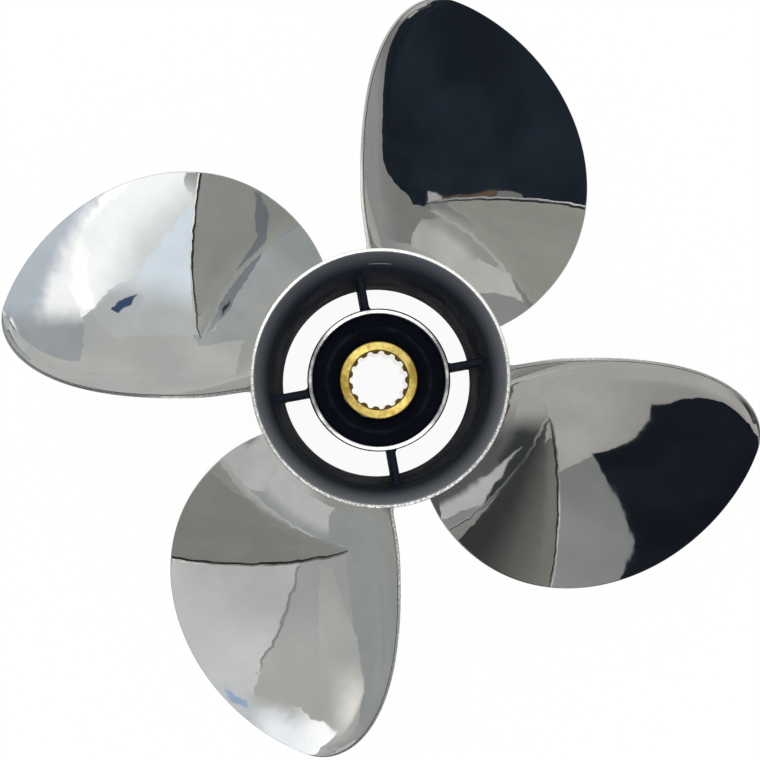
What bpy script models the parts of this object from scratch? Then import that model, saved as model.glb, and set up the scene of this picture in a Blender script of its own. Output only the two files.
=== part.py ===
"""Four-bladed boat propeller: through-hub barrel, ribbed inner hub, rubber bush and splined sleeve.

Units are metres. The origin is the centre of the barrel's forward face, +Z runs aft along the
shaft axis, and +Y points to the first blade. Seen from aft, angles run clockwise from +Y.
"""
import math

import bmesh
import bpy
from mathutils import Vector

MM = 0.001

# Overall
DIAMETER = 330.2 * MM
PITCH = 381.0 * MM
BLADE_COUNT = 4
FIT_GAP = 0.3 * MM
ROUND_STEPS = 64
MERGE_DISTANCE = 0.001 * MM

# Barrel and its flared aft ring
BARREL_LENGTH = 112.0 * MM
RING_LENGTH = 22.0 * MM
BARREL_FRONT_RADIUS = 51.3 * MM
BARREL_JOINT_RADIUS = 53.0 * MM
RIM_RADIUS = 57.3 * MM
FRONT_WALL = 3.4 * MM
JOINT_WALL = 3.0 * MM
RIM_WALL = 2.0 * MM
FLARE_POWER = 1.7
FLARE_STEPS = 5

# Inner hub and the ribs that carry it
HUB_RADIUS = 33.3 * MM
HUB_WALL = 2.6 * MM
HUB_FRONT_RECESS = 4.0 * MM
HUB_AFT_RECESS = 38.0 * MM
HUB_EDGE = 0.8 * MM
RIB_COUNT = 4
RIB_ANGLE = math.radians(-10.3)
RIB_THICKNESS = 4.0 * MM
RIB_END_INSET = 3.0 * MM
RIB_EDGE = 1.3 * MM
RIB_EDGE_STEPS = 3

# Splined drive sleeve
SLEEVE_RADIUS = 18.1 * MM
SLEEVE_LENGTH = 50.0 * MM
SLEEVE_EDGE = 0.5 * MM
SPLINE_TEETH = 15
SPLINE_MAJOR_RADIUS = 13.6 * MM
SPLINE_MINOR_RADIUS = 12.0 * MM
SPLINE_PHASE = math.radians(17.5)
SPACE_ROOT_SHARE = 0.34
SPACE_MOUTH_SHARE = 0.64

# Rubber bush between the inner hub and the sleeve
BUSH_AFT_RECESS = 3.0 * MM
BUSH_FRONT_INSET = 3.0 * MM
BUSH_DISH = 1.6 * MM
BUSH_RIDGE_WIDTH = 2.2 * MM
BUSH_RIDGE_HEIGHT = 0.6 * MM

# Blades
RAKE_ANGLE = math.radians(20.0)
BLADE_AFT_INSET = 12.0 * MM
BLADE_AFT_ANGLE = math.radians(-4.5)
BLADE_TIP_ANGLE = math.radians(11.0)
LEADING_SPREAD = math.radians(58.5)
LEADING_POWER = 3.0
LEADING_ROUNDNESS = 0.67
LEADING_TUCK = math.radians(3.2)
TRAILING_SPREAD = math.radians(-18.2)
TRAILING_POWER = 2.6
TRAILING_ROUNDNESS = 0.45
TRAILING_TUCK = math.radians(-2.4)
TUCK_HEIGHT = 32.0 * MM
ROOT_THICKNESS = 9.0 * MM
TIP_THICKNESS = 2.6 * MM
TRAILING_THICKNESS = 2.6 * MM
LEADING_THICKNESS = 1.0 * MM
CUP_HEIGHT = 1.6 * MM
CUP_WIDTH = 11.0 * MM
CUP_FULL_CHORD = 44.0 * MM
ROOT_FILLET = 6.0 * MM
FOOT_DEPTH = 2.5 * MM
TIP_SHARE = 0.9997
ROOT_ROWS = 6
SPAN_ROWS = 13
CHORD_POINTS = 13
EDGE_CROWDING = 0.6

# Stations that follow from the driving sizes
TIP_RADIUS = DIAMETER / 2
JOINT_STATION = BARREL_LENGTH - RING_LENGTH
HUB_FRONT = HUB_FRONT_RECESS
HUB_AFT = BARREL_LENGTH - HUB_AFT_RECESS
HUB_BORE = HUB_RADIUS - HUB_WALL
SLEEVE_AFT = HUB_AFT
SLEEVE_FRONT = SLEEVE_AFT - SLEEVE_LENGTH
BLADE_AFT_STATION = BARREL_LENGTH - BLADE_AFT_INSET

# Finishes: colour, roughness and metallic value
POLISHED_STEEL = ("polished_steel", (0.72, 0.72, 0.71), 0.06, 1.0)
CHARCOAL_PAINT = ("charcoal_paint", (0.022, 0.023, 0.026), 0.55, 0.0)
BLACK_RUBBER = ("black_rubber", (0.012, 0.013, 0.018), 0.70, 0.0)
TURNED_BRASS = ("turned_brass", (0.83, 0.60, 0.16), 0.28, 1.0)


def clear_scene():
    for item in list(bpy.data.objects):
        bpy.data.objects.remove(item, do_unlink=True)


def finish_material(finish):
    """Return the material of one finish, made on first use."""
    name, colour, roughness, metallic = finish
    material = bpy.data.materials.get(name)
    if material is None:
        material = bpy.data.materials.new(name)
        material.use_nodes = True
        shader = material.node_tree.nodes["Principled BSDF"]
        shader.inputs["Base Color"].default_value = (*colour, 1.0)
        shader.inputs["Roughness"].default_value = roughness
        shader.inputs["Metallic"].default_value = metallic
    return material


def mesh_from(bm, name, finish, sharp_angle=math.radians(30)):
    """Turn a bmesh into a smooth-shaded mesh with its outward faces and its material."""
    bmesh.ops.recalc_face_normals(bm, faces=bm.faces)
    mesh = bpy.data.meshes.new(name)
    bm.to_mesh(mesh)
    bm.free()
    mesh.shade_smooth()
    mesh.set_sharp_from_angle(angle=sharp_angle)
    mesh.materials.append(finish_material(finish))
    return mesh


def place(name, mesh, parent=None, turn=0.0):
    """Add one object at the shaft axis, turned clockwise as seen from aft."""
    piece = bpy.data.objects.new(name, mesh)
    bpy.context.scene.collection.objects.link(piece)
    piece.parent = parent
    piece.rotation_euler.z = -turn
    return piece


def axis_empty(name, parent=None):
    """Add an empty on the shaft axis that carries the pieces of one moving body."""
    empty = bpy.data.objects.new(name, None)
    bpy.context.scene.collection.objects.link(empty)
    empty.parent = parent
    return empty


def as_cutter(piece):
    piece.hide_render = True
    piece.display_type = "WIRE"


def cut_with(piece, cutter):
    modifier = piece.modifiers.new("cut", "BOOLEAN")
    modifier.operation = "DIFFERENCE"
    modifier.solver = "EXACT"
    modifier.object = cutter


def turned(profile, name, finish):
    """Spin a closed outline of (radius, height) points about the shaft axis."""
    bm = bmesh.new()
    ring = [bm.verts.new((radius, 0.0, height)) for radius, height in profile]
    edges = [bm.edges.new((ring[i - 1], ring[i])) for i in range(len(ring))]
    bmesh.ops.spin(bm, geom=ring + edges, cent=(0, 0, 0), axis=(0, 0, 1), dvec=(0, 0, 0),
                   angle=2 * math.pi, steps=ROUND_STEPS, use_merge=True, use_duplicate=False)
    bmesh.ops.remove_doubles(bm, verts=bm.verts, dist=MERGE_DISTANCE)
    return mesh_from(bm, name, finish)


def flare_share(height):
    """How far along the aft ring a height lies, from 0 at its joint to 1 at the rim."""
    return min(1.0, max(0.0, (height - JOINT_STATION) / RING_LENGTH))


def outer_radius(height):
    """Outside radius of the barrel and its aft ring."""
    taper = min(1.0, max(0.0, height / JOINT_STATION))
    straight = BARREL_FRONT_RADIUS + (BARREL_JOINT_RADIUS - BARREL_FRONT_RADIUS) * taper
    return straight + (RIM_RADIUS - BARREL_JOINT_RADIUS) * flare_share(height) ** FLARE_POWER


def inner_radius(height):
    """Inside radius of the barrel and its aft ring."""
    taper = min(1.0, max(0.0, height / JOINT_STATION))
    wall = FRONT_WALL + (JOINT_WALL - FRONT_WALL) * taper
    wall += (RIM_WALL - JOINT_WALL) * flare_share(height)
    return outer_radius(height) - wall


def flare_heights():
    return [JOINT_STATION + RING_LENGTH * i / FLARE_STEPS for i in range(FLARE_STEPS + 1)]


def barrel_mesh():
    end = JOINT_STATION - FIT_GAP
    profile = [(outer_radius(0.0), 0.0), (outer_radius(end), end),
               (inner_radius(end), end), (inner_radius(0.0), 0.0)]
    return turned(profile, "outer_barrel", POLISHED_STEEL)


def ring_mesh():
    heights = flare_heights()
    outside = [(outer_radius(height), height) for height in heights]
    inside = [(inner_radius(height), height) for height in reversed(heights)]
    return turned(outside + inside, "diffuser_ring", POLISHED_STEEL)


def hub_mesh():
    profile = [(HUB_RADIUS, HUB_FRONT), (HUB_RADIUS, HUB_AFT - HUB_EDGE),
               (HUB_RADIUS - HUB_EDGE, HUB_AFT), (HUB_BORE + HUB_EDGE, HUB_AFT),
               (HUB_BORE, HUB_AFT - HUB_EDGE), (HUB_BORE, HUB_FRONT)]
    return turned(profile, "inner_hub", CHARCOAL_PAINT)


def rib_mesh():
    """One flat rib from the inner hub to the barrel wall, with rounded forward and aft edges."""
    front = HUB_FRONT + RIB_END_INSET
    aft = HUB_AFT - RIB_END_INSET
    outline = [(HUB_RADIUS + FIT_GAP, front), (inner_radius(front) - FIT_GAP, front),
               (inner_radius(aft) - FIT_GAP, aft), (HUB_RADIUS + FIT_GAP, aft)]
    bm = bmesh.new()
    corners = [bm.verts.new((-RIB_THICKNESS / 2, radius, height)) for radius, height in outline]
    side = bm.faces.new(corners)
    grown = bmesh.ops.extrude_face_region(bm, geom=[side])["geom"]
    moved = [item for item in grown if isinstance(item, bmesh.types.BMVert)]
    bmesh.ops.translate(bm, verts=moved, vec=(RIB_THICKNESS, 0, 0))
    radial = [edge for edge in bm.edges
              if abs(edge.verts[0].co.z - edge.verts[1].co.z) < FIT_GAP
              and abs(edge.verts[0].co.x - edge.verts[1].co.x) < FIT_GAP]
    bmesh.ops.bevel(bm, geom=radial, offset=RIB_EDGE, segments=RIB_EDGE_STEPS, profile=0.5, affect="EDGES")
    return mesh_from(bm, "rib", CHARCOAL_PAINT)


def bush_mesh():
    """Rubber sleeve with a dished aft face and one low moulded ridge."""
    inside = SLEEVE_RADIUS + FIT_GAP
    outside = HUB_BORE - FIT_GAP
    front = SLEEVE_FRONT + BUSH_FRONT_INSET
    aft = HUB_AFT - BUSH_AFT_RECESS
    middle = (inside + outside) / 2
    quarter = (outside - inside) / 4
    floor = aft - BUSH_DISH
    half_ridge = BUSH_RIDGE_WIDTH / 2
    profile = [(outside, front), (outside, aft), (middle + quarter, floor),
               (middle + half_ridge, floor), (middle + half_ridge / 2, floor + BUSH_RIDGE_HEIGHT),
               (middle - half_ridge / 2, floor + BUSH_RIDGE_HEIGHT), (middle - half_ridge, floor),
               (middle - quarter, floor), (inside, aft), (inside, front)]
    return turned(profile, "rubber_bush", BLACK_RUBBER)


def spline_cutter():
    """A star-shaped prism whose arms cut the spaces between the spline teeth."""
    step = 2 * math.pi / SPLINE_TEETH
    inside = SPLINE_MINOR_RADIUS - 2 * FIT_GAP
    shape = [(inside, -SPACE_MOUTH_SHARE), (SPLINE_MINOR_RADIUS, -SPACE_MOUTH_SHARE),
             (SPLINE_MAJOR_RADIUS, -SPACE_ROOT_SHARE), (SPLINE_MAJOR_RADIUS, SPACE_ROOT_SHARE),
             (SPLINE_MINOR_RADIUS, SPACE_MOUTH_SHARE), (inside, SPACE_MOUTH_SHARE)]
    bm = bmesh.new()
    corners = []
    for tooth in range(SPLINE_TEETH):
        middle = SPLINE_PHASE + (tooth + 0.5) * step
        for radius, share in shape:
            angle = middle + share * step / 2
            corners.append(bm.verts.new((radius * math.sin(angle), radius * math.cos(angle),
                                         SLEEVE_FRONT - SPLINE_MAJOR_RADIUS)))
    base = bm.faces.new(corners)
    grown = bmesh.ops.extrude_face_region(bm, geom=[base])["geom"]
    moved = [item for item in grown if isinstance(item, bmesh.types.BMVert)]
    bmesh.ops.translate(bm, verts=moved, vec=(0, 0, SLEEVE_LENGTH + 2 * SPLINE_MAJOR_RADIUS))
    cutter = place("spline_cutter", mesh_from(bm, "spline_cutter", TURNED_BRASS))
    as_cutter(cutter)
    return cutter


def sleeve_mesh():
    """Plain tube with lead-in chamfers as deep as the spline teeth at both ends of its bore."""
    lead = SPLINE_MAJOR_RADIUS - SPLINE_MINOR_RADIUS
    profile = [(SLEEVE_RADIUS - SLEEVE_EDGE, SLEEVE_FRONT),
               (SLEEVE_RADIUS, SLEEVE_FRONT + SLEEVE_EDGE),
               (SLEEVE_RADIUS, SLEEVE_AFT - SLEEVE_EDGE), (SLEEVE_RADIUS - SLEEVE_EDGE, SLEEVE_AFT),
               (SPLINE_MAJOR_RADIUS + FIT_GAP, SLEEVE_AFT),
               (SPLINE_MINOR_RADIUS, SLEEVE_AFT - lead / 2),
               (SPLINE_MINOR_RADIUS, SLEEVE_FRONT + lead / 2),
               (SPLINE_MAJOR_RADIUS + FIT_GAP, SLEEVE_FRONT)]
    return turned(profile, "drive_sleeve", TURNED_BRASS)


def edge_angle(radius, spread, power, roundness, tuck):
    """Angle of a blade edge: an oval outline that draws in a little close to the barrel."""
    share = radius / TIP_RADIUS
    angle = BLADE_TIP_ANGLE + spread * max(0.0, 1 - share ** power) ** roundness
    height = radius - BARREL_FRONT_RADIUS
    return angle - tuck * max(0.0, 1 - height / TUCK_HEIGHT) ** 2


def edge_angles(radius):
    """Trailing and leading edge angles at a radius."""
    trailing = edge_angle(radius, TRAILING_SPREAD, TRAILING_POWER, TRAILING_ROUNDNESS, TRAILING_TUCK)
    leading = edge_angle(radius, LEADING_SPREAD, LEADING_POWER, LEADING_ROUNDNESS, LEADING_TUCK)
    return trailing, leading


def pitch_surface(radius, angle):
    """Point of the raked helical blade face, and the face's normal towards aft."""
    lead = PITCH / (2 * math.pi)
    slope = math.tan(RAKE_ANGLE)
    height = BLADE_AFT_STATION - lead * (angle - BLADE_AFT_ANGLE) + slope * (radius - BARREL_FRONT_RADIUS)
    outward = Vector((math.sin(angle), math.cos(angle), slope))
    around = Vector((radius * math.cos(angle), -radius * math.sin(angle), -lead))
    normal = around.cross(outward).normalized()
    return Vector((outward.x * radius, outward.y * radius, height)), normal


def fillet_flare(point):
    """Extra thickness on each side of the blade where it meets the barrel."""
    height = math.hypot(point.x, point.y) - outer_radius(point.z)
    reach = min(1.0, max(0.0, 1 - height / ROOT_FILLET))
    return ROOT_FILLET * (1 - math.sqrt(1 - reach ** 2))


def chord_shares():
    """Shares of the chord from trailing to leading edge, closer together at both edges."""
    shares = []
    for i in range(CHORD_POINTS):
        even = i / (CHORD_POINTS - 1)
        shares.append(even - EDGE_CROWDING * math.sin(2 * math.pi * even) / (2 * math.pi))
    return shares


def blade_section(radius):
    """Closed loop of points round the blade at one radius: along the face, back along the back."""
    trailing, leading = edge_angles(radius)
    span_share = max(0.0, (radius - BARREL_FRONT_RADIUS) / (TIP_RADIUS - BARREL_FRONT_RADIUS))
    middle_thickness = ROOT_THICKNESS + (TIP_THICKNESS - ROOT_THICKNESS) * span_share
    chord = (leading - trailing) * math.hypot(radius, PITCH / (2 * math.pi))
    face = []
    back = []
    for share in chord_shares():
        point, normal = pitch_surface(radius, trailing + (leading - trailing) * share)
        cup = CUP_HEIGHT * max(0.0, 1 - share * chord / CUP_WIDTH) ** 2
        cup *= min(1.0, chord / CUP_FULL_CHORD)
        edge = TRAILING_THICKNESS * (1 - share) + LEADING_THICKNESS * share
        crown = middle_thickness - (TRAILING_THICKNESS + LEADING_THICKNESS) / 2
        thickness = edge + max(0.0, crown) * (1 - (2 * share - 1) ** 2)
        flare = fillet_flare(point)
        face.append(point + normal * (cup + flare))
        back.append(point + normal * (cup - thickness - flare))
    return face + back[::-1]


def blade_radii():
    """Section radii: close together over the root fillet, then closing up towards the tip."""
    foot = BARREL_FRONT_RADIUS - FOOT_DEPTH
    fillet_top = BARREL_JOINT_RADIUS + ROOT_FILLET
    roots = [foot + (fillet_top - foot) * i / ROOT_ROWS for i in range(ROOT_ROWS)]
    reach = TIP_SHARE * TIP_RADIUS - fillet_top
    spans = [fillet_top + reach * math.sin(math.pi / 2 * i / SPAN_ROWS) for i in range(SPAN_ROWS + 1)]
    return roots + spans


def blade_mesh():
    """Loft the blade through its sections and cap it at the foot and the tip."""
    bm = bmesh.new()
    loops = [[bm.verts.new(point) for point in blade_section(radius)] for radius in blade_radii()]
    for lower, upper in zip(loops, loops[1:]):
        for i in range(len(lower)):
            bm.faces.new((lower[i - 1], lower[i], upper[i], upper[i - 1]))
    bm.faces.new(loops[0])
    bm.faces.new(loops[-1])
    bmesh.ops.triangulate(bm, faces=bm.faces)
    return mesh_from(bm, "blade", POLISHED_STEEL)


def barrel_clearance():
    """A filled copy of the barrel's outside, one gap larger, that trims the blade feet."""
    heights = [0.0] + flare_heights()
    outside = [(outer_radius(height) + FIT_GAP, height) for height in heights]
    beyond = RING_LENGTH
    axle = FIT_GAP
    profile = [(axle, -beyond), (outside[0][0], -beyond), *outside,
               (outside[-1][0], BARREL_LENGTH + beyond), (axle, BARREL_LENGTH + beyond)]
    cutter = place("barrel_clearance", turned(profile, "barrel_clearance", POLISHED_STEEL))
    as_cutter(cutter)
    return cutter


def build():
    clear_scene()
    sleeve_axis = axis_empty("sleeve_axis")
    bush_axis = axis_empty("bush_axis", sleeve_axis)
    wheel_axis = axis_empty("wheel_axis", bush_axis)

    sleeve = place("drive_sleeve", sleeve_mesh(), sleeve_axis)
    cut_with(sleeve, spline_cutter())
    place("rubber_bush", bush_mesh(), bush_axis)

    place("outer_barrel", barrel_mesh(), wheel_axis)
    place("diffuser_ring", ring_mesh(), wheel_axis)
    place("inner_hub", hub_mesh(), wheel_axis)
    rib = rib_mesh()
    for i in range(RIB_COUNT):
        place(f"rib_{i + 1}", rib, wheel_axis, RIB_ANGLE + 2 * math.pi * i / RIB_COUNT)
    clearance = barrel_clearance()
    blade = blade_mesh()
    for i in range(BLADE_COUNT):
        piece = place(f"blade_{i + 1}", blade, wheel_axis, 2 * math.pi * i / BLADE_COUNT)
        cut_with(piece, clearance)
    bpy.context.view_layer.update()


build()
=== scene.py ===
"""Looks of the boat propeller: fine surfaces, finishes, floor, light and camera.

Units are metres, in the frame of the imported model: the origin is the centre of the barrel's forward
face, +Z runs aft along the shaft axis, and angles run clockwise from +Y as seen from aft.
"""
import math

import bmesh
import bpy
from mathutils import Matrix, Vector


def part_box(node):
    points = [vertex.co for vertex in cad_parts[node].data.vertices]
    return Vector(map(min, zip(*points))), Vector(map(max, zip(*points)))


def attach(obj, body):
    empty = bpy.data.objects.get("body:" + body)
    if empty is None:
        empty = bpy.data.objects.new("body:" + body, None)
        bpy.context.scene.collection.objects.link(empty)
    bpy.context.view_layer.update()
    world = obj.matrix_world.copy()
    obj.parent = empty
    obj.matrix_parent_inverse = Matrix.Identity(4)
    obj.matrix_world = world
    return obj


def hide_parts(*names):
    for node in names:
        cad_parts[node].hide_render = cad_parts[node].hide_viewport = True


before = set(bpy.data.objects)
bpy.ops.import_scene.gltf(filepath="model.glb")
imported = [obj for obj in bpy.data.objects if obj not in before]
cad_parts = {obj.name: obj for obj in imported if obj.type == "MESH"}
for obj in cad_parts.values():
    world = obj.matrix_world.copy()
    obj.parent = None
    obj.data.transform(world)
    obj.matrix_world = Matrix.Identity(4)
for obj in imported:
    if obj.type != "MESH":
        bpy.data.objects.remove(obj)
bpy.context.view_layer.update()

MM = 0.001
FULL_TURN = 2 * math.pi
BLADE_COUNT = 4
RIB_COUNT = 4

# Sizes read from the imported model
RING_LOW, RING_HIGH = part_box("diffuser_ring")
_, BARREL_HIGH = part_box("outer_barrel")
HUB_LOW, HUB_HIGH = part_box("inner_hub")
BUSH_LOW, BUSH_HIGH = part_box("rubber_bush")
SLEEVE_LOW, SLEEVE_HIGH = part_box("drive_sleeve")
RIB_LOW, RIB_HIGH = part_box("rib_1")
RIM_RADIUS = RING_HIGH.x
RIM_STATION = RING_HIGH.z
JOINT_STATION = RING_LOW.z
RING_LENGTH = RIM_STATION - JOINT_STATION
JOINT_RADIUS = BARREL_HIGH.x
HUB_RADIUS = HUB_HIGH.x
SLEEVE_RADIUS = SLEEVE_HIGH.x

# Walls and edges of the barrel, its flared ring and the inner hub
FRONT_RADIUS = 51.3 * MM
FRONT_WALL = 3.4 * MM
FRONT_EDGE = 0.6 * MM
JOINT_WALL = 3.0 * MM
RIM_WALL = 2.0 * MM
RIM_EDGE = 0.35 * MM
RIM_PAINT = 0.2 * MM
FLARE_POWER = 1.7
HUB_WALL = 2.6 * MM
HUB_BORE = HUB_RADIUS - HUB_WALL
HUB_EDGE = 0.9 * MM
HUB_BARE_LENGTH = 2.2 * MM

# Scratch through the paint at the top of the flared ring's inside
SCRATCH_STATION = JOINT_STATION + 0.45 * RING_LENGTH
SCRATCH_HALF = 6.0 * MM
SCRATCH_CORE = 0.2 * MM
SCRATCH_FRINGE = 0.5 * MM
SCRATCH_SIDE = HUB_RADIUS + 10 * MM

# Rubber bush
BUSH_CLEARANCE = 0.05 * MM
BUSH_DISH = 1.6 * MM
BUSH_DISH_POWER = 0.6
BUSH_RIDGE_HEIGHT = 0.6 * MM
BUSH_RIDGE_HALF = 1.1 * MM

# Ribs
RIB_ANGLE = math.radians(-10.3)
RIB_THICKNESS = 3.5 * MM
RIB_FILLET = 2.4 * MM
RIB_FILLET_LENGTHWISE = 0.4
RIB_SINK = 0.5 * MM

# Drive sleeve and its spline
SLEEVE_EDGE = 0.5 * MM
SPLINE_TEETH = 15
SPLINE_MAJOR_RADIUS = 13.6 * MM
SPLINE_MINOR_RADIUS = 12.0 * MM
SPLINE_PHASE = math.radians(17.5)
TOOTH_TIP_HALF = math.radians(1.6)
TOOTH_ROOT_HALF = math.radians(9.6)
MOUTH_RADIUS = SPLINE_MAJOR_RADIUS + 0.6 * MM
MOUTH_DEPTHS = [depth * MM for depth in (0.0, 0.15, 0.4, 0.8, 1.3, 1.9)]

# Blades; an edge's values are its spread, power, roundness and tuck in edge_angle
TIP_RADIUS = 165.1 * MM
PITCH = 381.0 * MM
LEAD = PITCH / FULL_TURN
RAKE_SLOPE = math.tan(math.radians(20.0))
BLADE_AFT_STATION = RIM_STATION - 12.0 * MM
BLADE_AFT_ANGLE = math.radians(-4.5)
BLADE_TIP_ANGLE = math.radians(11.0)
LEADING_EDGE = (math.radians(58.5), 3.0, 0.67, math.radians(3.2))
TRAILING_EDGE = (math.radians(-18.2), 2.6, 0.45, math.radians(-2.4))
TUCK_HEIGHT = 32.0 * MM
ROOT_THICKNESS = 9.0 * MM
TIP_THICKNESS = 2.6 * MM
TRAILING_THICKNESS = 2.6 * MM
LEADING_THICKNESS = 1.0 * MM
CUP_HEIGHT = 1.6 * MM
CUP_WIDTH = 11.0 * MM
CUP_FULL_CHORD = 44.0 * MM
ROOT_FILLET = 6.0 * MM
FILLET_TOP = JOINT_RADIUS + ROOT_FILLET
FOLLOW_HEIGHT = 28.0 * MM
FOLLOW_TRIES = 4
FOOT_DEPTH = 1.2 * MM
EDGE_ROUND = 0.45 * MM
TIP_SHARE = 0.99985

# Strips of a blade's section that aren't polished, counted from its squared trailing edge
GROUND_STRIPS = 3
FACE_SCALE_STRIPS = 2
BACK_SCALE_STRIPS = 5

# Fineness of the meshes
ROUND_STEPS = 192
FLARE_STEPS = 22
HUB_EDGE_POINTS = 8
BUSH_FACE_POINTS = 40
TOOTH_STEPS = 20
RIB_SPAN_ROWS = 26
RIB_SIDE_POINTS = 8
RIB_CORNER_POINTS = 6
ROOT_ROWS = 14
SPAN_ROWS = 84
FACE_POINTS = 64
FACE_CROWDING = 0.7
ROUND_POINTS = 4

# Angles over which an edge is shaded sharp
TURNED_SHARP = math.radians(40)
SPLINE_SHARP = math.radians(32)
RIB_SHARP = math.radians(50)
BLADE_SHARP = math.radians(60)

# Places of the materials in the lists of turned pieces and of blades
METAL, PAINT, RIM = range(3)
POLISHED, GROUND, SCALE = range(3)


class Graph:
    """Short names for making and linking shader nodes; colours are red, green and blue."""

    def __init__(self, tree):
        self.tree = tree

    def node(self, kind, **settings):
        made = self.tree.nodes.new(kind)
        for key, value in settings.items():
            setattr(made, key, value)
        return made

    def put(self, socket, value):
        """Link a socket, or set it where the value is a plain number, colour or vector."""
        if isinstance(value, bpy.types.NodeSocket):
            self.tree.links.new(value, socket)
        elif socket.type == "RGBA":
            socket.default_value = (*value, 1.0)
        else:
            socket.default_value = value

    def math(self, operation, first, second=0.0):
        made = self.node("ShaderNodeMath", operation=operation)
        self.put(made.inputs[0], first)
        self.put(made.inputs[1], second)
        return made.outputs[0]

    def span(self, value, low, high, out_low=0.0, out_high=1.0):
        """Smooth step of a value from one range to another, held at both ends."""
        made = self.node("ShaderNodeMapRange", interpolation_type="SMOOTHSTEP", clamp=True)
        for socket, number in zip(made.inputs, (value, low, high, out_low, out_high)):
            self.put(socket, number)
        return made.outputs[0]

    def mix(self, share, first, second):
        """Mix of two colours, which the node keeps in its inputs 6 and 7 and its output 2."""
        made = self.node("ShaderNodeMix", data_type="RGBA")
        self.put(made.inputs[0], share)
        self.put(made.inputs[6], first)
        self.put(made.inputs[7], second)
        return made.outputs[2]

    def place(self):
        """Place of a point on its piece."""
        return self.node("ShaderNodeTexCoord").outputs["Object"]

    def noise(self, scale, detail=2.0, roughness=0.5, stretch=None):
        """Cloudy noise with so many cells to a metre; stretch scales it along X, Y and Z."""
        where = self.place()
        if stretch:
            mapping = self.node("ShaderNodeMapping")
            self.put(mapping.inputs["Vector"], where)
            self.put(mapping.inputs["Scale"], stretch)
            where = mapping.outputs[0]
        made = self.node("ShaderNodeTexNoise")
        self.put(made.inputs["Vector"], where)
        self.put(made.inputs["Scale"], scale)
        self.put(made.inputs["Detail"], detail)
        self.put(made.inputs["Roughness"], roughness)
        return made.outputs["Fac"]

    def bump(self, height, distance, normal=None):
        """Normal of a surface roughened by a height, on top of another normal if one is given."""
        made = self.node("ShaderNodeBump")
        self.put(made.inputs["Strength"], 1.0)
        self.put(made.inputs["Distance"], distance)
        self.put(made.inputs["Height"], height)
        if normal:
            self.put(made.inputs["Normal"], normal)
        return made.outputs[0]

    def axes(self, where=None):
        """Parts of a place or direction along X, Y and Z."""
        made = self.node("ShaderNodeSeparateXYZ")
        self.put(made.inputs[0], where or self.place())
        return made.outputs

    def radius(self):
        """Distance of a point from the shaft axis."""
        squares = [self.math("POWER", part, 2.0) for part in self.axes()[:2]]
        return self.math("SQRT", self.math("ADD", *squares))

    def sides(self, near, far):
        """Two opposite sides of a round piece, rising from 0 to 1 between two distances along X."""
        return self.span(self.math("ABSOLUTE", self.axes()[0]), near, far)


def new_material(name):
    """Material with its graph and the inputs of its main shader."""
    material = bpy.data.materials.new(name)
    material.use_nodes = True
    graph = Graph(material.node_tree)
    return material, graph, material.node_tree.nodes["Principled BSDF"].inputs


def bare_graph(owner):
    """Graph of a material or world, with no nodes in it yet."""
    owner.use_nodes = True
    owner.node_tree.nodes.clear()
    return Graph(owner.node_tree)


def polished_steel():
    """Mirror-polished stainless steel with the faint waves, haze and hairlines of hand polishing."""
    material, graph, shader = new_material("polished_steel")
    clear, hazy = (0.70, 0.70, 0.69), (0.76, 0.76, 0.75)
    shader["Metallic"].default_value = 1.0
    haze = graph.noise(38.0, detail=5.0, roughness=0.6)
    graph.put(shader["Base Color"], graph.mix(graph.span(haze, 0.35, 0.7), clear, hazy))
    smear = graph.noise(26.0, detail=6.0, roughness=0.65, stretch=(1.0, 1.0, 0.25))
    graph.put(shader["Roughness"], graph.span(smear, 0.35, 0.75, 0.012, 0.055))
    swell = graph.noise(32.0, detail=0.0)
    waves = graph.noise(120.0, detail=1.0, roughness=0.4)
    hairs = graph.noise(900.0, detail=3.0, roughness=0.6, stretch=(0.08, 1.0, 1.0))
    normal = graph.bump(waves, 0.03 * MM, normal=graph.bump(swell, 0.045 * MM))
    graph.put(shader["Normal"], graph.bump(hairs, 0.001 * MM, normal=normal))
    return material


def ground_steel():
    """Bare steel off the grinding belt: even on one half of the wheel; painted shade darkens the rest,
    which is speckled.
    """
    material, graph, shader = new_material("ground_steel")
    bright, dulled_and_shaded, speck = (0.90, 0.895, 0.865), (0.68, 0.675, 0.655), (0.36, 0.355, 0.34)
    shader["Metallic"].default_value = 1.0
    # Painted shade: the steel darkens towards -Y, for the darker things it mirrors on that side;
    # grinding specks show only there.
    dimmed = graph.span(graph.axes()[1], 35 * MM, -20 * MM)
    grain = graph.noise(1300.0, detail=3.0, roughness=0.7)
    tint = graph.mix(dimmed, bright, dulled_and_shaded)
    specks = graph.math("MULTIPLY", graph.span(grain, 0.42, 0.6), dimmed)
    graph.put(shader["Base Color"], graph.mix(specks, tint, speck))
    graph.put(shader["Roughness"], graph.span(grain, 0.3, 0.7, 0.2, 0.45))
    graph.put(shader["Normal"], graph.bump(grain, 0.04 * MM))
    return material


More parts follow.
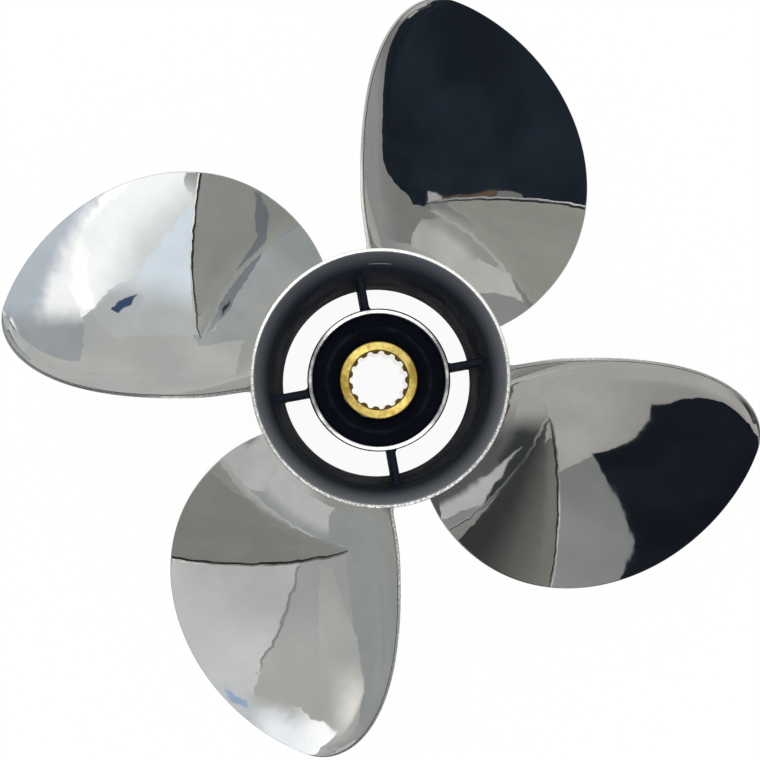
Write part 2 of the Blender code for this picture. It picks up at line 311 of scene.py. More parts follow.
def worn_and_shaded_steel():
    """Steel that was polished once and has lost its polish in patches, with painted shade on two
    opposite sides.
    """
    material, graph, shader = new_material("worn_and_shaded_steel")
    bright, dulled_and_shaded = (0.90, 0.895, 0.88), (0.16, 0.16, 0.165)
    shader["Metallic"].default_value = 1.0
    patches = graph.noise(80.0, detail=4.0, roughness=0.6)
    # Painted shade: two opposite sides are darkened, for the dark wall that they mirror; the patches are
    # wear.
    sides = graph.sides(0.55 * HUB_RADIUS, 0.98 * HUB_RADIUS)
    dimmed = graph.math("ADD", patches, graph.math("MULTIPLY", sides, 0.28))
    graph.put(shader["Base Color"], graph.mix(graph.span(dimmed, 0.42, 0.82), bright, dulled_and_shaded))
    strokes = graph.noise(1100.0, detail=3.0, roughness=0.6, stretch=(1.0, 0.25, 1.0))
    graph.put(shader["Roughness"], graph.span(strokes, 0.3, 0.7, 0.14, 0.3))
    graph.put(shader["Normal"], graph.bump(strokes, 0.02 * MM))
    return material


def edge_scale():
    """Dark line that the polishing wheel leaves beside a ground edge."""
    material, graph, shader = new_material("edge_scale")
    shader["Metallic"].default_value = 1.0
    graph.put(shader["Base Color"], (0.07, 0.07, 0.075))
    shader["Roughness"].default_value = 0.4
    return material


def charcoal_paint():
    """Dull bluish black paint with an orange-peel skin, scratched towards the rim, where painted sheen
    turns it grey.
    """
    material, graph, shader = new_material("charcoal_paint")
    plain_black, sheen_grey, bare = (0.031, 0.040, 0.060), (0.30, 0.315, 0.34), (0.75, 0.76, 0.78)
    across, along, height = graph.axes()
    cloud = graph.noise(55.0, detail=3.0)
    # Painted sheen and light: the paint turns grey towards the rim, most on the -Y side, where the
    # inside wall faces the light.
    uneven = graph.math("ADD", height, graph.math("MULTIPLY", cloud, 2.5 * MM))
    painted_sheen = graph.span(uneven, JOINT_STATION - 4 * MM, RIM_STATION + 6 * MM)
    painted_sheen = graph.math("POWER", painted_sheen, 1.6)
    slant = graph.math("SUBTRACT", along, graph.math("MULTIPLY", across, 0.4))
    painted_sheen = graph.math("MULTIPLY", painted_sheen, graph.span(slant, 55 * MM, -30 * MM, 0.6, 1.1))
    tint = graph.mix(painted_sheen, plain_black, sheen_grey)
    off_scratch = graph.math("ABSOLUTE", graph.math("SUBTRACT", height, SCRATCH_STATION))
    scratch = graph.math("MULTIPLY", graph.span(off_scratch, SCRATCH_FRINGE, SCRATCH_CORE),
                         graph.span(graph.math("ABSOLUTE", across), SCRATCH_HALF, 0.6 * SCRATCH_HALF))
    scratch = graph.math("MULTIPLY", scratch, graph.math("GREATER_THAN", along, SCRATCH_SIDE))
    graph.put(shader["Base Color"], graph.mix(scratch, tint, bare))
    shader["Specular IOR Level"].default_value = 0.004
    graph.put(shader["Specular Tint"], (0.75, 0.86, 1.0))
    graph.put(shader["Roughness"], graph.span(cloud, 0.3, 0.7, 0.55, 0.7))
    peel = graph.noise(700.0, detail=2.0)
    graph.put(shader["Normal"], graph.bump(peel, 0.02 * MM))
    return material


def black_rubber():
    """Matt moulded rubber with faint turned rings, a powdery bloom, and a painted highlight that makes
    the ridge paler.
    """
    material, graph, shader = new_material("black_rubber")
    black, bloomed, ridge_highlight = (0.004, 0.0055, 0.012), (0.008, 0.0105, 0.020), (0.017, 0.020, 0.032)
    ridge_radius, ring_pitch = (SLEEVE_RADIUS + HUB_BORE) / 2, 0.9 * MM
    bloom = graph.noise(110.0, detail=6.0, roughness=0.65)
    radius = graph.radius()
    # Painted highlight: the ridge is paler, broken up by the bloom.
    off_ridge = graph.math("ABSOLUTE", graph.math("SUBTRACT", radius, ridge_radius))
    ridge = graph.span(off_ridge, 1.8 * MM, 0.4 * MM)
    ridge = graph.math("MULTIPLY", ridge, graph.span(bloom, 0.3, 0.6))
    tint = graph.mix(graph.span(bloom, 0.45, 0.8), black, bloomed)
    graph.put(shader["Base Color"], graph.mix(ridge, tint, ridge_highlight))
    graph.put(shader["Roughness"], graph.span(bloom, 0.3, 0.7, 0.52, 0.68))
    shader["Specular IOR Level"].default_value = 0.04
    rings = graph.math("SINE", graph.math("MULTIPLY", radius, FULL_TURN / ring_pitch))
    normal = graph.bump(rings, 0.008 * MM)
    grain = graph.noise(1400.0, detail=3.0)
    graph.put(shader["Normal"], graph.bump(grain, 0.03 * MM, normal=normal))
    return material


def turned_brass():
    """Turned brass: concentric tool marks, a darker outer bevel and tooth ends, a bright bore, and
    painted shade on two sides.
    """
    material, graph, shader = new_material("turned_brass")
    clean, stained_and_shaded, bevel_dark = (0.97, 0.77, 0.23), (0.47, 0.32, 0.06), (0.34, 0.22, 0.05)
    tooth_end, bright = (0.24, 0.15, 0.03), (0.92, 0.88, 0.78)
    mark_pitch = 0.28 * MM
    radius, height = graph.radius(), graph.axes()[2]
    patches = graph.noise(150.0, detail=5.0, roughness=0.65)
    # Painted shade: the brass is darkened more on two opposite sides, standing in for the dark
    # reflection fans of a turned face.
    sides = graph.sides(0.6 * SLEEVE_RADIUS, 0.9 * SLEEVE_RADIUS)
    stain_and_shade = graph.math("ADD", patches, graph.math("MULTIPLY", sides, 0.16))
    tint = graph.mix(graph.span(stain_and_shade, 0.38, 0.78), clean, stained_and_shaded)
    # The outer bevel and the tooth ends are darker.
    bevel = graph.span(radius, SLEEVE_RADIUS - 0.9 * MM, SLEEVE_RADIUS - 0.2 * MM)
    tint = graph.mix(bevel, tint, bevel_dark)
    teeth = graph.span(radius, SPLINE_MAJOR_RADIUS + 0.7 * MM, SPLINE_MAJOR_RADIUS + 0.3 * MM)
    tint = graph.mix(teeth, tint, tooth_end)
    half = (SLEEVE_HIGH.z - SLEEVE_LOW.z) / 2
    off_middle = graph.math("ABSOLUTE", graph.math("SUBTRACT", height, SLEEVE_LOW.z + half))
    bore = graph.math("MULTIPLY", teeth, graph.span(off_middle, half - 1.7 * MM, half - 2.2 * MM))
    graph.put(shader["Base Color"], graph.mix(bore, tint, bright))
    dimmed = graph.math("SUBTRACT", teeth, bore)
    graph.put(shader["Metallic"], graph.span(dimmed, 0.0, 1.0, 1.0, 0.55))
    scratch = graph.noise(600.0, detail=4.0, roughness=0.7)
    worn = graph.span(scratch, 0.3, 0.75, 0.28, 0.42)
    worn = graph.math("ADD", worn, graph.math("MULTIPLY", dimmed, 0.25))
    graph.put(shader["Roughness"], graph.math("SUBTRACT", worn, graph.math("MULTIPLY", bore, 0.2)))
    shader["Anisotropic"].default_value = 0.9
    shader["Anisotropic Rotation"].default_value = 0.25
    tangent = graph.node("ShaderNodeTangent", direction_type="RADIAL", axis="Z")
    graph.put(shader["Tangent"], tangent.outputs[0])
    wobble = graph.math("MULTIPLY", graph.noise(60.0), 0.5 * MM)
    marks = graph.math("MULTIPLY", graph.math("ADD", radius, wobble), FULL_TURN / mark_pitch)
    normal = graph.bump(graph.math("SINE", marks), 0.009 * MM)
    graph.put(shader["Normal"], graph.bump(scratch, 0.012 * MM, normal=normal))
    return material


def held(value):
    """Value held between 0 and 1."""
    return min(1.0, max(0.0, value))


def eased(share):
    """Share from 0 to 1 that starts and ends gently."""
    return share * share * (3 - 2 * share)


def fillet(height, radius):
    """How far a round fillet stands out at a height above its foot."""
    reach = held(1 - height / radius)
    return radius * (1 - math.sqrt(1 - reach ** 2))


def clockwise(x, y, turn):
    """Place after a turn about the shaft axis, clockwise as seen from aft."""
    return x * math.cos(turn) + y * math.sin(turn), y * math.cos(turn) - x * math.sin(turn)


def flare_share(height):
    """How far along the flared ring a height lies, from 0 at its joint to 1 at the rim."""
    return held((height - JOINT_STATION) / RING_LENGTH)


def outer_radius(height):
    """Outside radius of the barrel and its flared ring."""
    straight = FRONT_RADIUS + (JOINT_RADIUS - FRONT_RADIUS) * held(height / JOINT_STATION)
    return straight + (RIM_RADIUS - JOINT_RADIUS) * flare_share(height) ** FLARE_POWER


def inner_radius(height):
    """Inside radius of the barrel and its flared ring."""
    wall = FRONT_WALL + (JOINT_WALL - FRONT_WALL) * held(height / JOINT_STATION)
    return outer_radius(height) - wall - (RIM_WALL - JOINT_WALL) * flare_share(height)


def rounded(corner, before, after, radius, points=4):
    """Points of a round that replaces a corner of an outline."""
    corner, before, after = Vector(corner), Vector(before), Vector(after)
    start = corner + (before - corner).normalized() * radius
    end = corner + (after - corner).normalized() * radius
    steps = [i / points for i in range(points + 1)]
    return [tuple(start * (1 - t) ** 2 + corner * 2 * t * (1 - t) + end * t ** 2) for t in steps]


def skin(bm, loops, closed, number_at=lambda place: 0):
    """Faces from each loop of points to the next; number_at gives a face's material by its place."""
    pairs = list(zip(loops[-1:] + loops[:-1], loops))
    for here, there in pairs if closed else pairs[1:]:
        for i in range(len(here)):
            face = bm.faces.new((here[i - 1], here[i], there[i], there[i - 1]))
            face.material_index = number_at(i)


def add_object(name, data):
    """New object in the scene."""
    made = bpy.data.objects.new(name, data)
    bpy.context.scene.collection.objects.link(made)
    return made


def finish_mesh(bm, name, materials, sharp_angle):
    """Turn a bmesh into a smooth-shaded piece with its materials."""
    bmesh.ops.recalc_face_normals(bm, faces=bm.faces)
    mesh = bpy.data.meshes.new(name)
    bm.to_mesh(mesh)
    bm.free()
    mesh.shade_smooth()
    mesh.set_sharp_from_angle(angle=sharp_angle)
    for material in materials:
        mesh.materials.append(material)
    return add_object(name, mesh)


def stand_for(piece, node, body):
    """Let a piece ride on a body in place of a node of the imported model."""
    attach(piece, body)
    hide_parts(node)


def turned(stretches, name, materials):
    """Spin a closed outline about the shaft axis; a stretch is points and the material after each."""
    outline = [point for points, _ in stretches for point in points]
    numbers = [number for points, number in stretches for _ in points]
    bm = bmesh.new()
    rings = []
    for step in range(ROUND_STEPS):
        angle = FULL_TURN * step / ROUND_STEPS
        rings.append([bm.verts.new((*clockwise(0.0, r, angle), z)) for r, z in outline])
    skin(bm, rings, True, lambda place: numbers[place - 1])
    return finish_mesh(bm, name, materials, TURNED_SHARP)


def make_barrel(steel, paint):
    """Barrel tube: polished outside, painted inside, with rounded edges at its forward face."""
    end = JOINT_STATION
    front_in, front_out = (inner_radius(0.0), 0.0), (outer_radius(0.0), 0.0)
    aft_out, aft_in = (outer_radius(end), end), (inner_radius(end), end)
    outside = rounded(front_out, front_in, aft_out, FRONT_EDGE)
    inside = rounded(front_in, aft_in, front_out, FRONT_EDGE)
    stretches = [(outside, METAL), ([aft_out, aft_in], PAINT), (inside, METAL)]
    piece = turned(stretches, "barrel_shell", [steel, paint])
    stand_for(piece, "outer_barrel", "wheel")


def make_ring(steel, paint, ground):
    """Flared aft ring: polished outside, painted inside, with a ground rim."""
    heights = [JOINT_STATION + RING_LENGTH * i / FLARE_STEPS for i in range(FLARE_STEPS + 1)]
    outside = [(outer_radius(height), height) for height in heights]
    inside = [(inner_radius(height), height) for height in reversed(heights)]
    rim_out = rounded(outside[-1], outside[-2], inside[0], RIM_EDGE)
    rim_in = rounded(inside[0], outside[-1], inside[1], RIM_EDGE)
    paint_start = (rim_in[0][0] + RIM_PAINT, RIM_STATION)
    stretches = [(outside[:-1], METAL), (rim_out, RIM), ([paint_start, *rim_in, *inside[1:]], PAINT)]
    piece = turned(stretches, "flared_ring", [steel, paint, ground])
    stand_for(piece, "diffuser_ring", "wheel")


def make_hub(bare, paint):
    """Inner hub tube: painted, with a bare aft end that has rounded edges."""
    low, high = HUB_LOW.z, HUB_HIGH.z
    bare_start = high - HUB_BARE_LENGTH
    out_low, out_high = (HUB_RADIUS, low), (HUB_RADIUS, high)
    in_low, in_high = (HUB_BORE, low), (HUB_BORE, high)
    edge_out = rounded(out_high, out_low, in_high, HUB_EDGE, HUB_EDGE_POINTS)
    edge_in = rounded(in_high, out_high, in_low, HUB_EDGE, HUB_EDGE_POINTS)
    stretches = [([out_low], PAINT), ([(HUB_RADIUS, bare_start), *edge_out, *edge_in], METAL),
                 ([(HUB_BORE, bare_start), in_low], PAINT)]
    piece = turned(stretches, "hub_tube", [bare, paint])
    stand_for(piece, "inner_hub", "wheel")


def make_bush(rubber):
    """Rubber bush with soft lips, a dished aft face and a low moulded ridge."""
    inside, outside = SLEEVE_RADIUS + BUSH_CLEARANCE, HUB_BORE - BUSH_CLEARANCE
    low, high = BUSH_LOW.z, BUSH_HIGH.z
    middle = (inside + outside) / 2
    face = []
    for i in range(BUSH_FACE_POINTS + 1):
        share = i / BUSH_FACE_POINTS
        radius = outside + (inside - outside) * share
        dish = BUSH_DISH * math.sin(math.pi * share) ** BUSH_DISH_POWER
        ridge = BUSH_RIDGE_HEIGHT * math.exp(-((radius - middle) / BUSH_RIDGE_HALF) ** 4)
        face.append((radius, high - dish + ridge))
    piece = turned([([(outside, low), *face, (inside, low)], 0)], "bush_rubber", [rubber])
    stand_for(piece, "rubber_bush", "bush")


def spline_radius(angle):
    """Bore radius at an angle: teeth reach in, round-bottomed spaces lie between them."""
    step = FULL_TURN / SPLINE_TEETH
    off = abs((angle - SPLINE_PHASE + step / 2) % step - step / 2)
    share = eased(held((off - TOOTH_TIP_HALF) / (TOOTH_ROOT_HALF - TOOTH_TIP_HALF)))
    return SPLINE_MINOR_RADIUS + (SPLINE_MAJOR_RADIUS - SPLINE_MINOR_RADIUS) * share


def make_sleeve(brass):
    """Splined sleeve with rounded outer edges and chamfered mouths."""
    low, high = SLEEVE_LOW.z, SLEEVE_HIGH.z
    steps = SPLINE_TEETH * TOOTH_STEPS
    angles = [FULL_TURN * i / steps for i in range(steps)]
    bm = bmesh.new()

    def ring(height, radii):
        return [bm.verts.new((*clockwise(0.0, r, angle), height)) for r, angle in zip(radii, angles)]

    def bore(depth):
        return [max(spline_radius(angle), MOUTH_RADIUS - depth) for angle in angles]

    outside = rounded((SLEEVE_RADIUS, low), (0, low), (SLEEVE_RADIUS, high), SLEEVE_EDGE)
    outside += rounded((SLEEVE_RADIUS, high), (SLEEVE_RADIUS, low), (0, high), SLEEVE_EDGE)
    rings = [ring(height, [radius] * steps) for radius, height in outside]
    rings += [ring(high - depth, bore(depth)) for depth in MOUTH_DEPTHS]
    rings += [ring(low + depth, bore(depth)) for depth in reversed(MOUTH_DEPTHS)]
    skin(bm, rings, True)
    piece = finish_mesh(bm, "sleeve_brass", [brass], SPLINE_SHARP)
    stand_for(piece, "drive_sleeve", "sleeve")


def rib_section(swell):
    """Closed outline across a rib, with round aft and forward edges, thickened by a swell."""
    half = RIB_THICKNESS / 2
    wide = half + swell
    top = RIB_HIGH.z + swell * RIB_FILLET_LENGTHWISE
    bottom = RIB_LOW.z - swell * RIB_FILLET_LENGTHWISE
    turns = [math.pi * i / RIB_CORNER_POINTS for i in range(RIB_CORNER_POINTS + 1)]
    section = [(wide * math.cos(a), top - half + half * math.sin(a)) for a in turns]
    for i in range(1, RIB_SIDE_POINTS):
        section.append((-wide, top - half + (bottom + 2 * half - top) * i / RIB_SIDE_POINTS))
    for a in turns:
        section.append((wide * math.cos(math.pi + a), bottom + half + half * math.sin(math.pi + a)))
    for i in range(1, RIB_SIDE_POINTS):
        section.append((wide, bottom + half + (top - 2 * half - bottom) * i / RIB_SIDE_POINTS))
    return section


def make_rib(number, paint):
    """One rib between inner hub and barrel: rounded edges, and fillets at both ends."""
    turn = RIB_ANGLE + FULL_TURN * number / RIB_COUNT
    inner = HUB_RADIUS - RIB_SINK
    outer = inner_radius((RIB_LOW.z + RIB_HIGH.z) / 2) + RIB_SINK
    bm = bmesh.new()
    loops = []
    for i in range(RIB_SPAN_ROWS + 1):
        share = 0.5 - 0.5 * math.cos(math.pi * i / RIB_SPAN_ROWS)
        nearest = min(share, 1 - share) * (outer - inner)
        loop = []
        for across, height in rib_section(fillet(nearest, RIB_FILLET)):
            r = inner + (inner_radius(height) + RIB_SINK - inner) * share
            loop.append(bm.verts.new((*clockwise(across, r, turn), height)))
        loops.append(loop)
    skin(bm, loops, False)
    bm.faces.new(loops[0])
    bm.faces.new(loops[-1])
    piece = finish_mesh(bm, f"rib_plate_{number + 1}", [paint], RIB_SHARP)
    stand_for(piece, f"rib_{number + 1}", "wheel")


def edge_angle(radius, edge):
    """Angle of a blade edge: an oval outline that draws in a little close to the barrel."""
    spread, power, roundness, tuck = edge
    angle = BLADE_TIP_ANGLE + spread * max(0.0, 1 - (radius / TIP_RADIUS) ** power) ** roundness
    return angle - tuck * max(0.0, 1 - (radius - FRONT_RADIUS) / TUCK_HEIGHT) ** 2


def pitch_surface(radius, angle):
    """Point of the raked helical blade face, and the face's normal towards aft."""
    height = BLADE_AFT_STATION - LEAD * (angle - BLADE_AFT_ANGLE) + RAKE_SLOPE * (radius - FRONT_RADIUS)
    outward = Vector((math.sin(angle), math.cos(angle), RAKE_SLOPE))
    around = Vector((radius * math.cos(angle), -radius * math.sin(angle), -LEAD))
    return Vector((outward.x * radius, outward.y * radius, height)), around.cross(outward).normalized()


def face_point(radius, angle):
    """Point and normal of the blade face, whose rows close to the barrel follow its taper and flare."""
    share = 1 - eased(held((radius - FILLET_TOP) / FOLLOW_HEIGHT))
    point, normal = pitch_surface(radius, angle)
    for _ in range(FOLLOW_TRIES if share else 0):
        point, normal = pitch_surface(radius + share * (outer_radius(point.z) - JOINT_RADIUS), angle)
    return point, normal


def fillet_flare(point):
    """Extra thickness on each side of the blade where it meets the barrel."""
    return fillet(math.hypot(point.x, point.y) - outer_radius(point.z), ROOT_FILLET)


def sunk_in_wall(point):
    """Keep the blade's foot inside the wall that it stands on, so that none of it shows in the bore."""
    reach = math.hypot(point.x, point.y)
    wall = outer_radius(point.z) - FOOT_DEPTH
    grow = max(1.0, wall / reach)
    return Vector((point.x * grow, point.y * grow, point.z))


def blade_section(radius):
    """Closed loop round the blade at one radius, from the trailing edge over the face to the back."""
    trailing, leading = edge_angle(radius, TRAILING_EDGE), edge_angle(radius, LEADING_EDGE)
    unit = math.hypot(radius, LEAD)
    chord = (leading - trailing) * unit
    span = max(0.0, (radius - FRONT_RADIUS) / (TIP_RADIUS - FRONT_RADIUS))
    middle = ROOT_THICKNESS + (TIP_THICKNESS - ROOT_THICKNESS) * span
    crown = max(0.0, middle - (TRAILING_THICKNESS + LEADING_THICKNESS) / 2)
    corner = min(EDGE_ROUND, chord / 4)
    nose = min(LEADING_THICKNESS / 2, chord / 4)

    def thickness(along):
        share = along / chord
        edge = TRAILING_THICKNESS * (1 - share) + 2 * nose * share
        return edge + crown * (1 - (2 * share - 1) ** 2)

    def at(along, depth, side):
        """Point at a distance from the trailing edge; side is 1 on the face and -1 on the back."""
        point, normal = face_point(radius, trailing + along / unit)
        fullness = min(1.0, chord / CUP_FULL_CHORD)
        cup = CUP_HEIGHT * fullness * max(0.0, 1 - along / (CUP_WIDTH * fullness)) ** 2
        return sunk_in_wall(point + normal * (cup - depth + side * fillet_flare(point)))

    loop = []
    rounds = [math.pi / 2 * i / ROUND_POINTS for i in range(ROUND_POINTS + 1)]
    for a in rounds:
        loop.append(at(corner * (1 - math.cos(a)), corner * (1 - math.sin(a)), 1))
    run = chord - corner - nose
    evens = [i / FACE_POINTS for i in range(1, FACE_POINTS)]
    shares = [even - FACE_CROWDING * math.sin(FULL_TURN * even) / FULL_TURN for even in evens]
    loop += [at(corner + run * share, 0.0, 1) for share in shares]
    for i in range(2 * ROUND_POINTS + 1):
        a = math.pi / 2 - math.pi / 2 * i / ROUND_POINTS
        loop.append(at(chord - nose + nose * math.cos(a), nose - nose * math.sin(a), math.sin(a)))
    for share in reversed(shares):
        along = corner + run * share
        loop.append(at(along, thickness(along), -1))
    for a in reversed(rounds):
        depth = TRAILING_THICKNESS - corner * (1 - math.sin(a))
        loop.append(at(corner * (1 - math.cos(a)), depth, -1))
    return loop


def blade_radii():
    """Section radii: close together over the root fillet, then closing up towards the tip."""
    steps = [math.pi / 2 * i / ROOT_ROWS for i in range(ROOT_ROWS)]
    roots = [FILLET_TOP - ROOT_FILLET * math.cos(step) for step in steps]
    reach = TIP_SHARE * TIP_RADIUS - FILLET_TOP
    spans = [FILLET_TOP + reach * math.sin(math.pi / 2 * i / SPAN_ROWS) for i in range(SPAN_ROWS + 1)]
    return [JOINT_RADIUS - FOOT_DEPTH] + roots + spans


def strip_material(strip, count):
    """Material of a strip of the blade's section: ground at the trailing edge, scale beside it."""
    if strip < GROUND_STRIPS:
        return GROUND
    if strip < GROUND_STRIPS + FACE_SCALE_STRIPS or strip >= count - BACK_SCALE_STRIPS:
        return SCALE
    return POLISHED


def make_blade(number, sections, materials):
    """One blade lofted through its sections and turned to its place, with closed ends."""
    turn = FULL_TURN * number / BLADE_COUNT
    bm = bmesh.new()
    loops = [[bm.verts.new((*clockwise(p.x, p.y, turn), p.z)) for p in section] for section in sections]
    skin(bm, loops, False, lambda place: strip_material(place, len(loops[0])))
    for end in (loops[0], loops[-1]):
        for i in range(len(end) // 2):
            bm.faces.new(dict.fromkeys((end[i], end[i + 1], end[-2 - i], end[-1 - i])))
    piece = finish_mesh(bm, f"polished_blade_{number + 1}", materials, BLADE_SHARP)
    stand_for(piece, f"blade_{number + 1}", "wheel")


# Camera; pixels are those of the photograph, which looks along the shaft axis from aft
PICTURE_SIZE = 760
AXIS_PIXEL_AFT = (380.4, 378.2)
AXIS_PIXEL_FORWARD = (376.2, 383.1)
CAMERA_ABOVE_RIM = 650.0 * MM
FOCAL_PIXELS = 1480.2
SENSOR_WIDTH = 36.0
CLIP_START = 0.01
CLIP_END = 20.0

# Floor, white round the object and greyer far off
FLOOR_HALF = 4.0
FLOOR_SINK = 0.2 * MM
FLOOR_WHITE_RADIUS = 0.3
FLOOR_GREY_RADIUS = 0.9
FLOOR_WHITE = 0.95
FLOOR_GREY = 0.42
FLOOR_MATT = (0.78, 0.78, 0.78)
FLOOR_FAINT = (0.08, 0.08, 0.08)


def make_camera():
    """Camera aft of the rim; its shift puts the shaft axis's vanishing point where the photo has it."""
    depth = CAMERA_ABOVE_RIM + RIM_STATION
    gain = depth / RIM_STATION
    vanish = [aft + (forward - aft) * gain for aft, forward in zip(AXIS_PIXEL_AFT, AXIS_PIXEL_FORWARD)]
    data = bpy.data.cameras.new("camera")
    data.sensor_width = SENSOR_WIDTH
    data.lens = FOCAL_PIXELS * SENSOR_WIDTH / PICTURE_SIZE
    data.shift_x = (PICTURE_SIZE / 2 - vanish[0]) / PICTURE_SIZE
    data.shift_y = (vanish[1] - PICTURE_SIZE / 2) / PICTURE_SIZE
    data.clip_start = CLIP_START
    data.clip_end = CLIP_END
    camera = add_object("camera", data)
    scale = CAMERA_ABOVE_RIM / FOCAL_PIXELS
    aside = (vanish[0] - AXIS_PIXEL_AFT[0]) * scale
    along = (AXIS_PIXEL_AFT[1] - vanish[1]) * scale
    camera.location = (aside, along, depth)
    bpy.context.scene.camera = camera


def make_floor():
    """Pale floor that glows where it is seen, keeps a faint shadow, and is plain matt to other rays."""
    mesh = bpy.data.meshes.new("floor")
    signs = ((-1, -1), (1, -1), (1, 1), (-1, 1))
    mesh.from_pydata([(x * FLOOR_HALF, y * FLOOR_HALF, 0) for x, y in signs], [], [(0, 1, 2, 3)])
    material = bpy.data.materials.new("floor")
    graph = bare_graph(material)
    rays = graph.node("ShaderNodeLightPath").outputs
    seen = graph.math("MAXIMUM", rays["Is Camera Ray"], rays["Is Glossy Ray"])
    seen = graph.math("MAXIMUM", seen, rays["Is Transmission Ray"])
    matt = graph.node("ShaderNodeBsdfDiffuse")
    graph.put(matt.inputs["Color"], FLOOR_MATT)
    faint = graph.node("ShaderNodeBsdfDiffuse")
    graph.put(faint.inputs["Color"], FLOOR_FAINT)
    glow = graph.node("ShaderNodeEmission")
    strength = graph.span(graph.radius(), FLOOR_WHITE_RADIUS, FLOOR_GREY_RADIUS, FLOOR_WHITE, FLOOR_GREY)
    graph.put(glow.inputs["Strength"], strength)
    shown = graph.node("ShaderNodeAddShader")
    graph.put(shown.inputs[0], faint.outputs[0])
    graph.put(shown.inputs[1], glow.outputs[0])
    choice = graph.node("ShaderNodeMixShader")
    graph.put(choice.inputs[0], seen)
    graph.put(choice.inputs[1], matt.outputs[0])
    graph.put(choice.inputs[2], shown.outputs[0])
    output = graph.node("ShaderNodeOutputMaterial")
    graph.put(output.inputs["Surface"], choice.outputs[0])
    mesh.materials.append(material)
    floor = add_object("floor", mesh)
    floor.location.z = -FLOOR_SINK


# Cards of the studio; those in the sky have corners in degrees round from +X and degrees above the floor
CARD_DISTANCE = 20.0
LAYER_STEP = 1.5
CELLS_PER_DISTANCE = 6
FLOOR_STEP = 0.08 * MM
FLOOR_CELL = 0.2
FLOOR_NEAR = 0.16
FLOOR_RING = 0.6
FLOOR_FAR = 40.0
SECTOR_STEPS = 4
UNEVEN = 0.04
NAVY = (0.016, 0.022, 0.032)


def glowing(name, colour, fades, cell, uneven):
    """Glow with slightly uneven light, which may fade to other colours round or upwards."""
    material = bpy.data.materials.new(name)
    graph = bare_graph(material)
    glow = graph.node("ShaderNodeEmission")
    tint = colour
    for axis, start, end, other in fades:
        across, along, height = graph.axes()
        over, under = (along, across) if axis == "round" else (height, graph.radius())
        share = graph.span(graph.math("ARCTAN2", over, under), math.radians(start), math.radians(end))
        tint = graph.mix(share, tint, other)
    graph.put(glow.inputs["Color"], tint)
    cloud = graph.noise(1.0 / cell, detail=2.0)
    graph.put(glow.inputs["Strength"], graph.span(cloud, 0.3, 0.7, 1 - uneven, 1 + uneven))
    output = graph.node("ShaderNodeOutputMaterial")
    graph.put(output.inputs["Surface"], glow.outputs[0])
    return material


def hang(name, colour, places, fades, cell, uneven):
    """Flag or light panel that shows in reflections only."""
    mesh = bpy.data.meshes.new(name)
    mesh.from_pydata(places, [], [range(len(places))])
    mesh.materials.append(glowing(name, colour, fades, cell, uneven))
    panel = add_object(name, mesh)
    panel.visible_camera = False
    panel.visible_diffuse = False
    panel.visible_shadow = False


def card(name, layer, colour, corners, *fades, uneven=UNEVEN):
    """Card in the sky; a higher layer hangs behind a lower one."""
    distance = CARD_DISTANCE * LAYER_STEP ** layer
    places = []
    for turn, rise in corners:
        a, b = math.radians(turn), math.radians(rise)
        way = Vector((math.cos(a) * math.cos(b), math.sin(a) * math.cos(b), math.sin(b)))
        places.append(way * distance)
    hang(name, colour, places, fades, distance / CELLS_PER_DISTANCE, uneven)


def floor_card(name, layer, colour, corners, *fades):
    """Shade on the floor; a higher layer lies under a lower one."""
    hang(name, colour, [(x, y, -layer * FLOOR_STEP) for x, y in corners], fades, FLOOR_CELL, UNEVEN)


def on_floor(reach, turn):
    """Place on the floor at a distance from the shaft axis and degrees round from +X."""
    return reach * math.cos(math.radians(turn)), reach * math.sin(math.radians(turn))


def floor_sector(name, colour, start, end, *fades):
    """Shade on the floor further out, between two directions in degrees round from +X."""
    turns = [start + (end - start) * i / SECTOR_STEPS for i in range(SECTOR_STEPS + 1)]
    inner = [on_floor(FLOOR_RING, turn) for turn in turns]
    outer = [on_floor(FLOOR_FAR, turn) for turn in reversed(turns)]
    floor_card(name, -1, colour, inner + outer, *fades)


def make_right_cards():
    """What the blade on the right mirrors."""
    card("flag_right", 0, (0.0105, 0.0138, 0.0205),
         ((-165, 58), (-162, 41), (-151, 39), (-145, 35), (-137, 29.3), (-132.7, 26.5), (-129.5, 31.5),
          (-127, 33), (-121, 34), (-117, 58)),
         uneven=0.2)
    card("panel_right", 1, (0.295, 0.31, 0.305),
         ((-179, 56), (-179, 9), (-166, 9.8), (-160, 12.6), (-152, 14), (-140, 21.5), (-132.7, 26.6),
          (-128, 56)),
         ("round", -158, -136, (0.245, 0.255, 0.25)))
    card("panel_warm", 2, (0.47, 0.46, 0.43),
         ((-155, 11), (-150, 56), (-97, 56), (-97, 0), (-112, 0), (-118, 11)),
         ("up", 22, 37, (0.34, 0.335, 0.32)))
    card("low_streak", 0, (0.12, 0.12, 0.12),
         ((-175, 10.6), (-170, 3.5), (-153, 4), (-149, 6.4), (-140, 7.6), (-132.5, 9.9), (-139.5, 8.8),
          (-142.5, 9.4), (-147, 10.4), (-150, 10), (-154, 10.8), (-160, 12.4), (-166, 10.4)),
         ("up", 3.8, 7.0, (0.56, 0.56, 0.555)))
    card("low_band", 1, (0.13, 0.13, 0.13),
         ((-160, 13.5), (-157, 11.5), (-150, 9.4), (-142, 8.6), (-141, 3), (-114, 3), (-114, 9),
          (-120, 13), (-150, 13.5)),
         ("up", 3.5, 7.5, (0.045, 0.05, 0.052)), ("round", -129, -117, (0.46, 0.45, 0.42)))
    card("low_dark", 2, (0.115, 0.117, 0.12), ((-179, 0), (-179, 12.3), (-118, 13), (-104, 0)),
         ("round", -134, -110, (0.48, 0.47, 0.44)))


